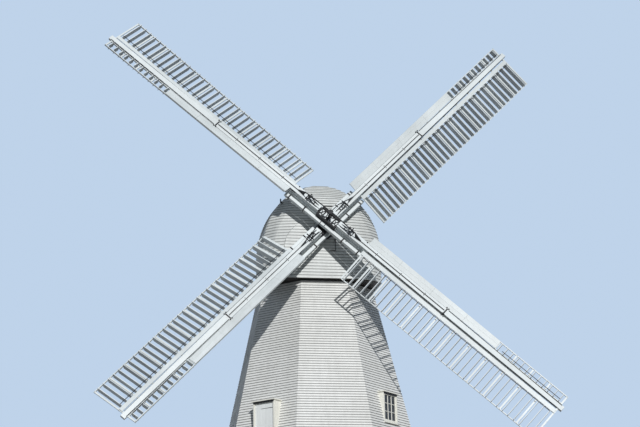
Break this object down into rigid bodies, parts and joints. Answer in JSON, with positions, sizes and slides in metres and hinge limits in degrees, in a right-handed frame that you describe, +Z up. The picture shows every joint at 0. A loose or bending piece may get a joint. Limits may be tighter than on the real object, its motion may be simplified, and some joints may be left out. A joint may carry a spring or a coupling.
{
  "type": "smock windmill",
  "caption": "Tall smock windmill: brick base with a railed walkway, leaning white boarded tower, boat-shaped turning cap, shuttered sails on crossed stocks and a fantail.",
  "frame": {"origin": "centre of the brick base on the ground, under the tower's axis", "axes": "+Z up, the sails face -Y, +X to the right seen from the front"},
  "size_m": [16.5588, 12.7, 29.181],
  "materials": {
    "brick": "matt",
    "concrete": "matt",
    "floor_boards": "bare",
    "tower_boards": "satin paint",
    "door_paint": "satin paint",
    "joinery_paint": "gloss paint",
    "window_glass": "clear",
    "stage_timber": "weathered paint",
    "oak": "bare",
    "cap_boards": "satin paint",
    "fan_timber": "satin paint",
    "sail_timber": "satin paint",
    "sail_boards": "satin paint",
    "black_iron": "black paint"
  },
  "bodies": {
    "tower": {"base_wall_right": "brick", "base_wall_left": "brick", "base_corner_right": "brick", "base_corner_left": "brick", "ground_floor": "concrete", "mill_floors": "floor_boards", "ground_door": "door_paint", "smock_front": "tower_boards", "smock_front_right": "tower_boards", "smock_right": "tower_boards", "smock_rear_right": "tower_boards", "smock_rear": "tower_boards", "smock_rear_left": "tower_boards", "smock_left": "tower_boards", "smock_front_left": "tower_boards", "door_frames": "joinery_paint", "upper_door_frame": "joinery_paint", "upper_door": "door_paint", "stage_doors": "door_paint", "window_frames": "joinery_paint", "window_glass": "window_glass", "stage_deck": "stage_timber", "stage_joists": "stage_timber", "stage_struts": "stage_timber", "stage_railing": "stage_timber", "curb": "oak"},
    "cap": {"cap_sill": "oak", "cap_frame": "oak", "shaft_bearings": "black_iron", "cap_front": "cap_boards", "cap_rear": "cap_boards", "cap_roof_right": "cap_boards", "cap_roof_left": "cap_boards", "fan_deck": "fan_timber", "fan_posts": "fan_timber", "fan_wheel": "fan_timber"},
    "sails": {"inner_stock": "sail_timber", "outer_stock": "sail_timber", "windshaft": "black_iron", "stock_clamps": "sail_timber", "stock_straps": "black_iron", "sail_frame_1": "sail_timber", "sail_frame_2": "sail_timber", "sail_frame_3": "sail_timber", "sail_frame_4": "sail_timber", "sail_shutters_1": "sail_boards", "sail_shutters_2": "sail_boards", "sail_shutters_3": "sail_boards", "sail_shutters_4": "sail_boards", "whips": "sail_timber", "leading_boards": "sail_boards", "whip_boards": "sail_boards", "spider": "black_iron", "bell_cranks": "black_iron"}
  },
  "joints": [
    {"name": "cap_winding", "type": "hinge", "parent": "tower", "child": "cap", "pos_m": [0, 0, 19.23], "axis": [0, 0, 1], "continuous": true},
    {"name": "windshaft_turn", "type": "hinge", "parent": "cap", "child": "sails", "pos_m": [0, -3.2, 21.2], "axis": [0, -0.9724, 0.2334], "continuous": true}
  ]
}
